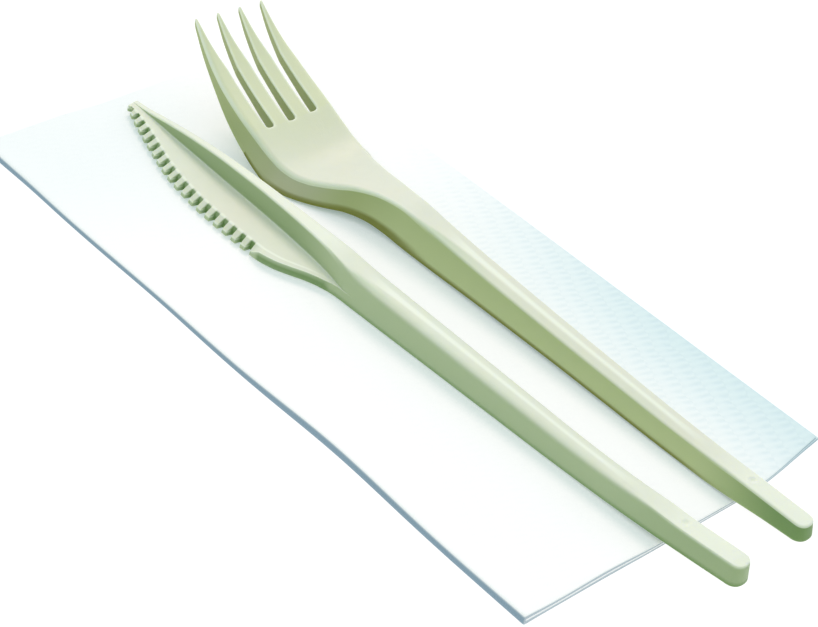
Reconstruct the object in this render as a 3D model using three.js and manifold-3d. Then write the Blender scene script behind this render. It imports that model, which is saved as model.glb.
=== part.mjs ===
// Plastic cutlery pack: a table knife and a fork of cream bioplastic, laid side by side on a
// paper napkin that is folded in eighths. Millimetres, +Z up. The origin is the middle of the
// napkin's underside; +Y runs along the handles to the tines and +X from the knife to the fork.

import * as THREE from 'three';
import { mergeVertices } from 'three/addons/utils/BufferGeometryUtils.js';
import Module from 'manifold-3d';

const wasm = await Module();
wasm.setup();

// ---- driving dimensions ----

const NAPKIN_SIDE = 300;          // the open square of tissue
const LAYER = 0.1;                // one layer of pressed tissue
const LAYER_GAP = 0.08;           // air between two layers
const FOLD_COUNT = 3;
const LAYER_COUNT = 2 ** FOLD_COUNT;
const NAPKIN_HEIGHT = LAYER_COUNT * LAYER + (LAYER_COUNT - 1) * LAYER_GAP;
const REST = NAPKIN_HEIGHT + 0.3; // how high the cutlery lies

const WALL = 1.2;                 // moulded side wall of the handles
const SKIN = 1.4;                 // thickness under the top of the handles
const CUT_HEIGHT = 40;            // taller than any piece
const EDGE_ROUND = 0.4;           // rounding where a side wall meets the top
const CREST_SLOPE = 0.2;          // fall of the top beside its crest
const NECK = 92;                  // from the handle's end to where blade or head begins
const ROUND_END = 3;              // depth of the rounded end of a handle
const CAVITY_START = 2;           // where the hollow underside begins
const KNIFE_CAVITY_END = 102;
const FORK_CAVITY_END = 131;
const MOUTH = 0.4;                // how much wider the hollow is at its mouth, each side
const MOUTH_DEPTH = 2;            // how far the cut reaches below the foot

const KNIFE_LENGTH = 161.6;
const KNIFE_END = new THREE.Vector2(-4.6, -92);
const KNIFE_TURN = THREE.MathUtils.degToRad(1.6);
const RIB_START = 86;             // where the handle's left side turns into the spine rib
const PLATE_START = 88;
const PLATE_ROOT = 2.6;           // how far the plate reaches in under the rib
const EDGE_DRAFT = 0.25;          // lean of the plate's outer wall
const TOOTH_GAP_COUNT = 19;
const TOOTH_PITCH = 2.68;         // along the edge
const LAST_TOOTH_GAP = 160.5;     // the gap nearest the tip
const TOOTH_GAP = 1.15;
const TOOTH_DEPTH = 1.2;

const FORK_LENGTH = 156.6;
const FORK_END = new THREE.Vector2(13.2, -91.5);
const FORK_TURN = THREE.MathUtils.degToRad(0.2);
const TINE_PITCH = 5.6;
const SLOT_ROOT = 134.6;          // from the handle's end to the bottom of the slots
const SLOT_HALF = 1.05;
const SLOT_CORNER = 0.5;
const SHOULDER = 147.5;           // where the tines begin to taper
const TIP_HALF = 0.45;

// ---- curves along a piece ----

// A smooth value along the piece: a cubic through stations [distance, value] that never
// overshoots them.
function along(stations) {
  const slope = stations.map((station, i) => {
    if (i === 0 || i === stations.length - 1) return 0;
    const before = (station[1] - stations[i - 1][1]) / (station[0] - stations[i - 1][0]);
    const after = (stations[i + 1][1] - station[1]) / (stations[i + 1][0] - station[0]);
    if (before * after <= 0) return 0;
    return (2 * before * after) / (before + after);
  });
  return (s) => {
    let i = 1;
    while (i < stations.length - 1 && s > stations[i][0]) i += 1;
    const [s0, v0] = stations[i - 1];
    const [s1, v1] = stations[i];
    const span = s1 - s0;
    const t = THREE.MathUtils.clamp((s - s0) / span, 0, 1);
    const rise = v1 - v0;
    const leave = slope[i - 1] * span - rise;
    const arrive = rise - slope[i] * span;
    return v0 + t * rise + t * (1 - t) * (leave * (1 - t) + arrive * t);
  };
}

// Both handles share the half widths of their foot and top, and the slope beside the crest.
const handle = {
  foot: along([[0, 2.45], [13, 2.55], [30, 2.75], [50, 3.0], [70, 3.25], [NECK, 3.55]]),
  top: along([[0, 1.95], [13, 1.95], [30, 2.2], [50, 2.4], [70, 2.6], [NECK, 2.75]]),
  crest: along([[0, 0.5], [12, 0.5], [16, 1.2], [40, 1.7], [80, 1.7], [100, 0.5]]),
};

const knife = {
  foot: along([[0, REST + 2.4], [10, REST + 1.45], [20, REST + 0.7], [30, REST + 0.25],
    [45, REST], [125, REST], [140, REST + 0.2], [150, REST + 0.4], [KNIFE_LENGTH, REST + 0.7]]),
  height: along([[0, 4.2], [13, 4.4], [20, 4.8], [33, 5.0], [47, 5.4], [62, 5.8], [72, 6.1],
    [NECK, 6.5], [118, 6.6], [130, 6.3], [141, 5.4], [150, 4.2], [156, 2.8], [159, 2.1],
    [KNIFE_LENGTH, 1.6]]),
  ribTop: along([[RIB_START, -2.7], [NECK, -2.3], [100, -0.9], [112, 0.2], [125, 0.8],
    [140, 1.3], [156, 1.9], [KNIFE_LENGTH, 2.1]]),
  ribFoot: along([[RIB_START, -3.5], [NECK, -3.3], [100, -2.0], [112, -0.7], [125, 0.2],
    [140, 0.9], [156, 1.7], [KNIFE_LENGTH, 2.0]]),
  backTop: 2.75,
  backFoot: 3.3,
  edge: along([[PLATE_START, -2.9], [95, -3.3], [99, -4.2], [102, -5.6], [105, -7.1],
    [108, -8.1], [112, -8.6], [117, -8.6], [122, -8.45], [127.7, -8.15], [133, -7.6],
    [138, -6.8], [143, -5.5], [148, -3.85], [153, -2.1], [157, -0.5], [160, 1.1],
    [KNIFE_LENGTH, 2.0]]),
  plate: along([[PLATE_START, 2.1], [150, 2.1], [157, 1.7], [KNIFE_LENGTH, 1.3]]),
};

const fork = {
  foot: along([[0, 3.4], [8, 2.8], [15, 2.1], [22, REST], [30, REST], [45, 1.9], [60, 2.1],
    [75, 2.1], [NECK, 1.9], [98, 2.0], [103, 2.5], [107, 2.8], [111, 2.7], [115, 2.25],
    [119, 1.85], [123, REST], [127, REST], [131, 2.6], [135, 4.2], [141, 7.0], [147, 11.0],
    [152, 15.1], [FORK_LENGTH, 20.3]]),
  top: along([[0, 6.5], [15, 6.5], [27, 6.65], [45, 7.2], [57, 7.65], [69, 8.2], [81, 8.85],
    [93, 9.65], [99, 10.05], [102, 9.95], [105, 9.7], [108, 9.2], [111, 8.5], [114, 7.6],
    [117, 6.65], [120, 5.95], [123, 5.65], [126, 5.9], [129, 6.7], [135, 9.0], [141, 11.4],
    [147, 14.4], [152, 17.6], [FORK_LENGTH, 21.5]]),
  half: along([[0, 0], [NECK, 2.75], [99, 2.8], [102, 3.0], [105, 3.4], [108, 4.05],
    [111, 4.9], [114, 6.1], [117, 7.3], [120, 8.4], [123, 9.25], [126, 9.75], [131, 10.15],
    [138, 10.35], [144, 10.2], [150, 9.6], [FORK_LENGTH, 8.85]]),
  flare: along([[0, 0.8], [NECK, 0.8], [108, 1.0], [117, 1.9], [125, 2.2], [132, 1.6],
    [141, 0.8], [147, 0.35], [FORK_LENGTH, 0.05]]),
  dish: along([[0, 0], [99, 0], [112, 0.25], [126, 0.9], [140, 0.6], [FORK_LENGTH, 0.1]]),
  skin: along([[0, SKIN], [NECK, SKIN], [120, 2.0], [135, 2.5]]),
};

// ---- solids ----

function solidFrom(geometry) {
  geometry.deleteAttribute('normal');
  geometry.deleteAttribute('uv');
  const merged = mergeVertices(geometry, 1e-4);
  return new wasm.Manifold(new wasm.Mesh({
    numProp: 3,
    vertProperties: Float32Array.from(merged.attributes.position.array),
    triVerts: Uint32Array.from(merged.index.array),
  }));
}

function geometryFrom(solid) {
  const mesh = solid.getMesh();
  const geometry = new THREE.BufferGeometry();
  geometry.setAttribute('position', new THREE.BufferAttribute(mesh.vertProperties, 3));
  geometry.setIndex(new THREE.BufferAttribute(mesh.triVerts, 1));
  return geometry;
}

// Skins a row of closed rings of [x, z] points, one ring at each distance along Y, and caps
// both ends. A ring runs up its left side, over the top and down its right side.
function loft(distances, ringAt) {
  const rings = distances.map(ringAt);
  const count = rings[0].length;
  const positions = rings.flatMap((ring, i) => ring.flatMap(([x, z]) => [x, distances[i], z]));
  const index = [];
  for (let i = 0; i + 1 < rings.length; i += 1) {
    for (let j = 0; j < count; j += 1) {
      const a = i * count + j;
      const b = i * count + ((j + 1) % count);
      index.push(a, b, a + count, b, b + count, a + count);
    }
  }
  const cap = (ring, first, turn) => {
    const outline = ring.map(([x, z]) => new THREE.Vector2(x, z));
    THREE.ShapeUtils.triangulateShape(outline, []).forEach(([a, b, c]) => {
      const area = THREE.ShapeUtils.area([outline[a], outline[b], outline[c]]);
      if (area * turn > 0) index.push(first + a, first + b, first + c);
      else index.push(first + a, first + c, first + b);
    });
  };
  cap(rings[0], 0, 1);
  cap(rings[rings.length - 1], (rings.length - 1) * count, -1);
  const geometry = new THREE.BufferGeometry();
  geometry.setAttribute('position', new THREE.Float32BufferAttribute(positions, 3));
  geometry.setIndex(index);
  return solidFrom(geometry);
}

// A prism that stands on an outline of [x, y] points and passes through the whole piece.
function prism(outline) {
  const shape = new THREE.Shape(outline.map(([x, y]) => new THREE.Vector2(x, y)));
  return solidFrom(new THREE.ExtrudeGeometry(shape, { depth: CUT_HEIGHT, bevelEnabled: false }));
}

function spread(from, to, step) {
  const count = Math.max(1, Math.round((to - from) / step));
  return Array.from({ length: count + 1 }, (_, i) => from + ((to - from) * i) / count);
}

// A section's left or right side (side -1 or 1) from its foot up to the crest of the top.
function flank(side, footX, topX, crest, foot, top) {
  const shoulder = top - crest * CREST_SLOPE;
  const bend = Math.min(EDGE_ROUND, crest * 0.7);
  return [
    [footX, foot],
    [topX, shoulder - bend],
    [topX - side * bend * 0.3, shoulder - bend * 0.3],
    [topX - side * bend, shoulder],
    [topX - side * crest, top],
  ];
}

// How far a handle has closed at its end, seen from above: a half ellipse.
function closing(s) {
  const k = 1 - Math.min(s / ROUND_END, 1);
  return Math.sqrt(Math.max(1 - k * k, 0.03));
}

const END_DISTANCES = [0, 0.25, 0.7, 1.3, 2.1];

// ---- knife ----

function knifeSides(s) {
  if (s <= RIB_START) {
    const close = closing(s);
    const top = handle.top(s) * close;
    const foot = handle.foot(s) * close;
    return { left: -top, leftFoot: -foot, right: top, rightFoot: foot };
  }
  const right = Math.min(handle.top(s), knife.backTop);
  const rightFoot = Math.min(handle.foot(s), knife.backFoot);
  return { left: knife.ribTop(s), leftFoot: knife.ribFoot(s), right, rightFoot };
}

function knifeRing(s) {
  const foot = knife.foot(s);
  const top = foot + knife.height(s);
  const { left, leftFoot, right, rightFoot } = knifeSides(s);
  const crest = Math.min(handle.crest(s) * closing(s), (right - left) * 0.45);
  return [
    ...flank(-1, leftFoot, left, crest, foot, top),
    ...flank(1, rightFoot, right, crest, foot, top).reverse(),
  ];
}

function knifeCavityRing(s) {
  const foot = knife.foot(s) - MOUTH_DEPTH;
  const ceiling = knife.foot(s) + knife.height(s) - SKIN;
  const { left, right } = knifeSides(s);
  return [[left + WALL - MOUTH, foot], [left + WALL, ceiling], [right - WALL, ceiling],
    [right - WALL + MOUTH, foot]];
}

function plateRing(s) {
  const foot = knife.foot(s);
  const top = foot + knife.plate(s);
  const edge = knife.edge(s);
  return [[edge, foot], [edge + EDGE_DRAFT, top], [PLATE_ROOT, top], [PLATE_ROOT, foot]];
}

// The blade's edge beside s: a unit vector along it, and one square to it into the blade.
function edgeFrame(s) {
  const run = new THREE.Vector2(knife.edge(s + 0.5) - knife.edge(s - 0.5), 1).normalize();
  return { run, inward: new THREE.Vector2(run.y, -run.x) };
}

// A notch across the blade's edge, narrowing inwards.
function toothGap(s) {
  const { run, inward } = edgeFrame(s);
  const corner = (aside, depth) => {
    const point = new THREE.Vector2(knife.edge(s), s);
    point.addScaledVector(run, aside).addScaledVector(inward, depth);
    return [point.x, point.y];
  };
  const root = TOOTH_GAP * 0.35;
  return prism([corner(-TOOTH_GAP / 2, -TOOTH_DEPTH), corner(TOOTH_GAP / 2, -TOOTH_DEPTH),
    corner(root, TOOTH_DEPTH), corner(-root, TOOTH_DEPTH)]);
}

function makeKnife() {
  const body = loft([...END_DISTANCES, ...spread(ROUND_END, RIB_START, 6),
    ...spread(RIB_START + 2, 118, 2.5), ...spread(121, KNIFE_LENGTH, 4)], knifeRing);
  const cavity = loft(spread(CAVITY_START, KNIFE_CAVITY_END, 5), knifeCavityRing);
  const plate = loft(spread(PLATE_START, KNIFE_LENGTH, 2.3), plateRing);
  let solid = body.add(plate).subtract(cavity);
  let s = LAST_TOOTH_GAP;
  for (let gap = 0; gap < TOOTH_GAP_COUNT; gap += 1) {
    solid = solid.subtract(toothGap(s));
    s -= TOOTH_PITCH * edgeFrame(s).run.y;
  }
  return solid;
}

// ---- fork ----

function forkHalf(s) {
  return s < NECK ? handle.top(s) * closing(s) : fork.half(s);
}

function forkRing(s) {
  const half = forkHalf(s);
  const footHalf = s < NECK ? handle.foot(s) * closing(s) : half + fork.flare(s);
  const foot = fork.foot(s);
  const top = fork.top(s);
  const crest = handle.crest(s) * closing(s);
  const hollow = (part) => top - fork.dish(s) * (1 - part * part);
  const inner = half - crest;
  return [
    ...flank(-1, -footHalf, -half, crest, foot, top),
    [-inner * 0.6, hollow(0.6)],
    [0, hollow(0)],
    [inner * 0.6, hollow(0.6)],
    ...flank(1, footHalf, half, crest, foot, top).reverse(),
  ];
}

function forkCavityRing(s) {
  const foot = fork.foot(s) - MOUTH_DEPTH;
  const half = forkHalf(s) - WALL;
  const ceiling = fork.top(s) - fork.dish(s) - fork.skin(s);
  const mouth = half + (s < NECK ? MOUTH : fork.flare(s) * 0.8);
  return [[-mouth, foot], [-half, ceiling], [half, ceiling], [mouth, foot]];
}

// The gap between two tines: straight to the shoulder, then opening to the tips.
function slot(middle) {
  const mouth = TINE_PITCH / 2 - TIP_HALF;
  const side = [
    [SLOT_HALF - SLOT_CORNER, SLOT_ROOT],
    [SLOT_HALF - SLOT_CORNER * 0.3, SLOT_ROOT + SLOT_CORNER * 0.3],
    [SLOT_HALF, SLOT_ROOT + SLOT_CORNER],
    [SLOT_HALF * 1.1, SHOULDER],
    [mouth, FORK_LENGTH],
    [mouth, FORK_LENGTH + 2],
  ];
  const right = side.map(([x, y]) => [middle + x, y]);
  const left = side.map(([x, y]) => [middle - x, y]).reverse();
  return prism([...right, ...left]);
}

function makeFork() {
  const body = loft([...END_DISTANCES, ...spread(ROUND_END, 96, 6), ...spread(99, 132, 2.2),
    ...spread(135, FORK_LENGTH, 2.7)], forkRing);
  const cavity = loft([...spread(CAVITY_START, 98, 6), ...spread(101, FORK_CAVITY_END, 2.5)],
    forkCavityRing);
  let solid = body.subtract(cavity);
  [-1, 0, 1].forEach((place) => {
    solid = solid.subtract(slot(place * TINE_PITCH));
  });
  return solid;
}

// ---- napkin ----

// Folds everything past a crease back over the top. Travel is the distance from the crease,
// height the place in the stack, and the answer is the pair after the fold.
function foldOver(travel, height, stack) {
  const centre = stack + LAYER_GAP / 2;
  const radius = centre - stack / 2;
  const bend = Math.PI * radius;
  if (travel <= 0) return [travel, height];
  if (travel >= bend) return [bend - travel, 2 * centre - height];
  const turn = travel / radius;
  const reach = centre - height;
  return [Math.sin(turn) * reach, centre - Math.cos(turn) * reach];
}

const STACKS = [1, 2, 4].map((layers) => layers * LAYER + (layers - 1) * LAYER_GAP);

// Where a point of the open square lies once the napkin is folded across its middle, then
// the other way, then once more.
function folded(u, v, height) {
  const [x1, z1] = foldOver(u, height, STACKS[0]);
  const [y2, z2] = foldOver(v, z1, STACKS[1]);
  const quarter = NAPKIN_SIDE / 4;
  const [x3, z3] = foldOver(-quarter - x1, z2, STACKS[2]);
  return [-x3 - quarter / 2, -y2 - quarter, z3];
}

// Distances along one edge of the open square, close together across each crease.
function creased(creases) {
  const bends = creases.flatMap(([at, length]) => spread(at, at + length, length / 5));
  return [-NAPKIN_SIDE / 2, ...bends, NAPKIN_SIDE / 2].sort((a, b) => a - b);
}

function makeNapkin() {
  const bend = STACKS.map((stack) => (Math.PI * (stack + LAYER_GAP)) / 2);
  const quarter = NAPKIN_SIDE / 4;
  const us = creased([[-quarter - bend[2], bend[2]], [0, bend[0]], [quarter + bend[0], bend[2]]]);
  const vs = creased([[0, bend[1]]]);
  const positions = [];
  [0, LAYER].forEach((height) => {
    us.forEach((u) => vs.forEach((v) => positions.push(...folded(u, v, height))));
  });
  const at = (side, i, j) => (side * us.length + i) * vs.length + j;
  const index = [];
  const quad = (a, b, c, d) => index.push(a, c, b, a, d, c);
  for (let i = 0; i + 1 < us.length; i += 1) {
    for (let j = 0; j + 1 < vs.length; j += 1) {
      quad(at(1, i, j), at(1, i + 1, j), at(1, i + 1, j + 1), at(1, i, j + 1));
      quad(at(0, i, j), at(0, i, j + 1), at(0, i + 1, j + 1), at(0, i + 1, j));
    }
    const last = vs.length - 1;
    quad(at(0, i, 0), at(0, i + 1, 0), at(1, i + 1, 0), at(1, i, 0));
    quad(at(0, i, last), at(1, i, last), at(1, i + 1, last), at(0, i + 1, last));
  }
  for (let j = 0; j + 1 < vs.length; j += 1) {
    const last = us.length - 1;
    quad(at(0, 0, j), at(1, 0, j), at(1, 0, j + 1), at(0, 0, j + 1));
    quad(at(0, last, j), at(0, last, j + 1), at(1, last, j + 1), at(1, last, j));
  }
  const geometry = new THREE.BufferGeometry();
  geometry.setAttribute('position', new THREE.Float32BufferAttribute(positions, 3));
  geometry.setIndex(index);
  return solidFrom(geometry);
}

// ---- the pack ----

function piece(name, solid, color, roughness) {
  const material = new THREE.MeshStandardMaterial({ color, roughness, metalness: 0 });
  const mesh = new THREE.Mesh(geometryFrom(solid), material);
  mesh.name = name;
  return mesh;
}

const group = new THREE.Group();

const knifeMesh = piece('knife', makeKnife(), 0xe5e8d0, 0.42);
knifeMesh.position.set(KNIFE_END.x, KNIFE_END.y, 0);
knifeMesh.rotation.z = KNIFE_TURN;
group.add(knifeMesh);

const forkMesh = piece('fork', makeFork(), 0xe5e8d0, 0.42);
forkMesh.position.set(FORK_END.x, FORK_END.y, 0);
forkMesh.rotation.z = FORK_TURN;
group.add(forkMesh);

group.add(piece('napkin', makeNapkin(), 0xf7f9fa, 0.95));

export default group;
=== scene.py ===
"""A plastic cutlery pack: a knife and a fork of cream bioplastic on a folded paper napkin.

Sizes are written in millimetres and become metres when a mesh is made. +Y runs along the
handles to the tines, +X from the knife to the fork, and +Z is up.
"""
import logging
import math
from dataclasses import dataclass, field
from enum import Enum

import bmesh
import bpy
import numpy as np
from mathutils import Matrix


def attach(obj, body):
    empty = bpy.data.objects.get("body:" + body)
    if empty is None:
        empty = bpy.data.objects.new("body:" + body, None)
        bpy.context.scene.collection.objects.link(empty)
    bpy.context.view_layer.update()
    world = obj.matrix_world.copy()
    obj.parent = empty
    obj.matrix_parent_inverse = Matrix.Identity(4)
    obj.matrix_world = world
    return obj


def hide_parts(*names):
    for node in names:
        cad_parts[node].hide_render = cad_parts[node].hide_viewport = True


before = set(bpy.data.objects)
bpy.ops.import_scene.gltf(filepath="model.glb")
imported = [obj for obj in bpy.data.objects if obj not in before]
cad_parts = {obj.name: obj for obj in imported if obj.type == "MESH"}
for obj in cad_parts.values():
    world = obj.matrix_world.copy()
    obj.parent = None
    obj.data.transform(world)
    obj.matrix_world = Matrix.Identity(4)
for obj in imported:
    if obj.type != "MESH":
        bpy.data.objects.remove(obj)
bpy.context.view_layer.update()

LOG = logging.getLogger("cutlery_pack")
MM = 0.001
MERGE = 2e-6    # points closer than this become one, in metres
CREASE = 38     # edges bent by more than this are drawn sharp, in degrees
# marks the meshes carry: painted highlight on rims, crests and ends, painted shade on undersides,
# walls, gaps and the left slope, and painted light through the thin head
MARKS = ("rim", "inside", "deep", "thin", "slope")
Stations = tuple[tuple[float, float], ...]


# ---------------------------------------------------------------- curves and grids


@dataclass(frozen=True)
class Course:
    """A value that changes along a piece, as a cubic that never overshoots its stations."""

    stations: Stations

    def __call__(self, s: np.ndarray | float) -> np.ndarray:
        """Reads the value.

        Between two stations the cubic leaves and arrives with the harmonic mean of the
        neighbouring slopes, or level where the slopes change sign.

        Args:
            s: distances along the piece, in millimetres.

        Returns:
            The value at each distance.
        """
        at, value = np.array(self.stations, float).T
        span = np.diff(at)
        rate = np.diff(value) / span
        product = rate[:-1] * rate[1:]
        total = rate[:-1] + rate[1:]
        mean = np.where(product > 0, 2 * product / np.where(total == 0, 1, total), 0)
        slope = np.concatenate([rate[:1], mean, rate[-1:]])
        i = np.clip(np.searchsorted(at, s) - 1, 0, len(span) - 1)
        t = np.clip((np.asarray(s, float) - at[i]) / span[i], 0, 1)
        rise = value[i + 1] - value[i]
        leave = slope[i] * span[i] - rise
        arrive = rise - slope[i + 1] * span[i]
        return value[i] + t * rise + t * (1 - t) * (leave * (1 - t) + arrive * t)


def smooth(t: np.ndarray) -> np.ndarray:
    """Rises from 0 to 1 as t does, level at both ends: 3t squared less 2t cubed."""
    t = np.clip(t, 0, 1)
    return t * t * (3 - 2 * t)


def bump(t: np.ndarray, middle: float, width: float) -> np.ndarray:
    """A bell of height 1 at the middle: e to the minus square of the distance in widths."""
    return np.exp(-(((t - middle) / width) ** 2))


def rounding(distance: np.ndarray, radius: np.ndarray | float) -> np.ndarray:
    """How far a rounded edge has fallen at a distance in from its wall.

    The fall is the radius less the height of a quarter circle.

    Args:
        distance: distance in from the wall.
        radius: radius of the rounded edge.

    Returns:
        The fall, which is the radius at the wall and 0 from one radius inwards.
    """
    reach = radius - np.clip(distance, 0, radius)
    return radius - np.sqrt(np.maximum(radius * radius - reach * reach, 0))


def spaced(first: float, last: float, step: float) -> np.ndarray:
    """Even distances from the first to the last, no further apart than a step."""
    count = max(1, math.ceil((last - first) / step))
    return np.linspace(first, last, count + 1)


def around(first: int, last: int, count: int) -> np.ndarray:
    """Places in a ring of columns, from the first up to the last, past the end if need be."""
    return (first + np.arange((last - first) % count + 1)) % count


@dataclass
class Outline:
    """A row of sections, each a line through corners that are rounded off.

    Attributes:
        corners: points, as rows by corners by three.
        cuts: how far each rounding reaches along the two sides of its corner.
        fills: points put between one corner and the next.
        rims: how much painted highlight each corner's rounding gets, from 0 to 1.
        closed: whether the line comes back to its first corner.
        steps: points round each corner.
        flats: how much painted highlight the flat after a corner gets.
    """

    corners: np.ndarray
    cuts: np.ndarray
    fills: tuple[int, ...]
    rims: tuple[float, ...]
    closed: bool = True
    steps: int = 7
    flats: dict[int, float] = field(default_factory=dict)

    def points(self) -> tuple[np.ndarray, np.ndarray]:
        """Works out the rounded line.

        Each corner becomes a parabola between a point on the side before it and one on
        the side after it, with the corner as its control point.

        Returns:
            The points, as rows by columns by three, and how much painted highlight each column
            gets.
        """
        here = self.corners
        count = here.shape[1]
        t = np.linspace(0, 1, self.steps)[None, :, None]
        starts, ends, arcs = [], [], []
        for k in range(count):
            before, after = here[:, k - 1] - here[:, k], here[:, (k + 1) % count] - here[:, k]
            cut = self.cuts[:, k, None]
            if not self.closed and k in (0, count - 1):
                cut = cut * 0
            parts = []
            for side in (before, after):
                length = np.maximum(np.linalg.norm(side, axis=1, keepdims=True), 1e-9)
                parts.append(here[:, k] + side * np.minimum(cut / length, 0.45))
            first, last = parts[0][:, None], parts[1][:, None]
            arc = (1 - t) ** 2 * first + 2 * t * (1 - t) * here[:, k, None] + t * t * last
            if not self.closed and k in (0, count - 1):
                arc = here[:, k, None]
            arcs.append(arc)
            starts.append(arc[:, 0])
            ends.append(arc[:, -1])
        columns, edge_highlight = [], []
        for k in range(count):
            columns.append(arcs[k])
            # painted highlight, strongest at the middle of each rounding
            turn = np.sin(np.linspace(0, np.pi, arcs[k].shape[1]))
            edge_highlight.append(self.rims[k] * (0.35 + 0.65 * turn))
            if k == count - 1 and not self.closed:
                break
            fill = self.fills[k]
            share = np.linspace(0.03, 0.97, fill) if fill > 1 else np.full(fill, 0.5)
            share = share[None, :, None]
            side = ends[k][:, None] * (1 - share) + starts[(k + 1) % count][:, None] * share
            columns.append(side)
            edge_highlight.append(np.full(fill, self.flats.get(k, 0.0)))
        return np.concatenate(columns, axis=1), np.concatenate(edge_highlight)


class Slot(Enum):
    """The record's material slots."""

    BIOPLASTIC = "bioplastic"
    TISSUE = "tissue"


class Shell:
    """Gathers grids of points and makes one closed mesh of them."""

    def __init__(self, labels: tuple[str, ...] = ()) -> None:
        """Starts with no grids.

        Args:
            labels: names of the values that every point carries.
        """
        self.points: list[np.ndarray] = []
        self.quads: list[np.ndarray] = []
        self.marks: dict[str, list[np.ndarray]] = {label: [] for label in labels}
        self.uvs: list[np.ndarray] = []
        self.count = 0

    def grid(self, points: np.ndarray, ring: bool = False, uv: np.ndarray | None = None,
             **marks: np.ndarray | float) -> None:
        """Adds a grid of quads.

        Args:
            points: rows by columns by three, in millimetres.
            ring: whether each row closes on itself.
            uv: rows by columns by two, for a pattern that follows the surface.
            **marks: values by label, where a label that is left out is 0.
        """
        rows, columns = points.shape[:2]
        index = self.count + np.arange(rows * columns).reshape(rows, columns)
        if ring:
            index = np.concatenate([index, index[:, :1]], axis=1)
        corners = (index[:-1, :-1], index[:-1, 1:], index[1:, 1:], index[1:, :-1])
        self.quads.append(np.stack(corners, axis=-1).reshape(-1, 4))
        self.points.append(points.reshape(-1, 3))
        self.uvs.append(np.zeros((rows * columns, 2)) if uv is None else uv.reshape(-1, 2))
        for label, values in self.marks.items():
            values.append(np.broadcast_to(marks.get(label, 0.0), (rows, columns)).reshape(-1))
        self.count += rows * columns

    def make(self, name: str, place: Matrix, crease: float) -> bpy.types.Object:
        """Joins the grids where they meet and makes an object.

        Args:
            name: the piece's name.
            place: where the piece lies, with its shift in millimetres.
            crease: angle in degrees above which an edge is drawn sharp.

        Returns:
            The object, at the origin, with its place in its mesh.
        """
        mesh = bpy.data.meshes.new(name)
        points = np.concatenate(self.points)
        quads = np.concatenate(self.quads)
        turn = np.array(place)
        points = (points @ turn[:3, :3].T + turn[:3, 3]) * MM
        mesh.vertices.add(len(points))
        mesh.vertices.foreach_set("co", points.ravel())
        mesh.loops.add(quads.size)
        mesh.loops.foreach_set("vertex_index", quads.ravel().astype(np.int32))
        mesh.polygons.add(len(quads))
        mesh.polygons.foreach_set("loop_start", np.arange(0, quads.size, 4, dtype=np.int32))
        mesh.update(calc_edges=True)
        uv = mesh.uv_layers.new(name="sheet")
        uv.uv.foreach_set("vector", np.concatenate(self.uvs)[quads.ravel()].ravel())
        for label, values in self.marks.items():
            attribute = mesh.attributes.new(label, "FLOAT", "POINT")
            attribute.data.foreach_set("value", np.concatenate(values))
        build = bmesh.new()
        build.from_mesh(mesh)
        bmesh.ops.remove_doubles(build, verts=build.verts, dist=MERGE)
        bmesh.ops.dissolve_degenerate(build, edges=build.edges, dist=MERGE / 2)
        bmesh.ops.recalc_face_normals(build, faces=build.faces)
        open_edges = sum(1 for edge in build.edges if len(edge.link_faces) != 2)
        build.to_mesh(mesh)
        build.free()
        mesh.shade_smooth()
        mesh.set_sharp_from_angle(angle=math.radians(crease))
        piece = bpy.data.objects.new(name, mesh)
        bpy.context.scene.collection.objects.link(piece)
        LOG.info("%s: %d faces, %d open edges", name, len(mesh.polygons), open_edges)
        return piece


# ---------------------------------------------------------------- shader maths


@dataclass
class Value:
    """A shader socket that takes part in sums like a number."""

    tree: bpy.types.NodeTree
    socket: bpy.types.NodeSocket

    def _math(self, operation: str, first: "Value | float", second: "Value | float") -> "Value":
        """Adds one Math node and returns its result."""
        node = self.tree.nodes.new("ShaderNodeMath")
        node.operation = operation
        for i, term in enumerate((first, second)):
            if isinstance(term, Value):
                self.tree.links.new(term.socket, node.inputs[i])
            else:
                node.inputs[i].default_value = term
        return Value(self.tree, node.outputs[0])

    def __add__(self, other: "Value | float") -> "Value":
        """Sum."""
        return self._math("ADD", self, other)

    __radd__ = __add__

    def __sub__(self, other: "Value | float") -> "Value":
        """Difference."""
        return self._math("SUBTRACT", self, other)

    def __rsub__(self, other: "Value | float") -> "Value":
        """Difference from a number."""
        return self._math("SUBTRACT", other, self)

    def __mul__(self, other: "Value | float") -> "Value":
        """Product."""
        return self._math("MULTIPLY", self, other)

    __rmul__ = __mul__

    def __pow__(self, other: "Value | float") -> "Value":
        """Power."""
        return self._math("POWER", self, other)

    def sine(self) -> "Value":
        """The sine of an angle in radians."""
        return self._math("SINE", self, 0.0)

    def wrapped(self) -> "Value":
        """The part after the decimal point."""
        return self._math("FRACT", self, 0.0)

    def above(self, edge: float) -> "Value":
        """1 where the value is greater than the edge, and 0 elsewhere."""
        return self._math("GREATER_THAN", self, edge)


Input = Value | float | tuple[float, ...]


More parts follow.
